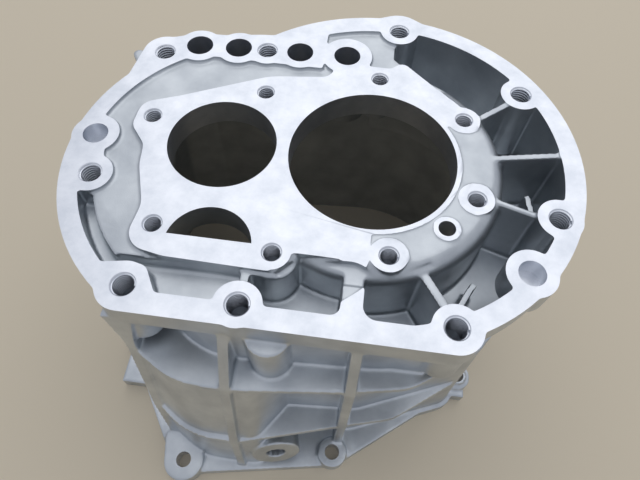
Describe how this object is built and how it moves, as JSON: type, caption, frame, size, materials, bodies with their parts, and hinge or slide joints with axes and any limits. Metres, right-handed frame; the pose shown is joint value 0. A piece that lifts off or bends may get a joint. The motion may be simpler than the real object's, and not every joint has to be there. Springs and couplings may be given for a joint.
{
  "type": "gearbox housing",
  "caption": "Die-cast gearbox housing with a ribbed, flared body, a machined cover rim, bearing seat bores, shift rail bores and lugs on an open base flange.",
  "frame": {"origin": "on the axis of the main bearing bore, in the machined top face", "axes": "+Z along the main bore and out of the top face, +X along the straight front edge of the top flange, +Y away from that edge"},
  "size_m": [0.2495, 0.2422, 0.163],
  "materials": {
    "cast_aluminium": "as-cast fine grain, with machined faces and bores"
  },
  "bodies": {
    "root": {"gearbox_housing": "cast_aluminium"}
  },
  "joints": []
}
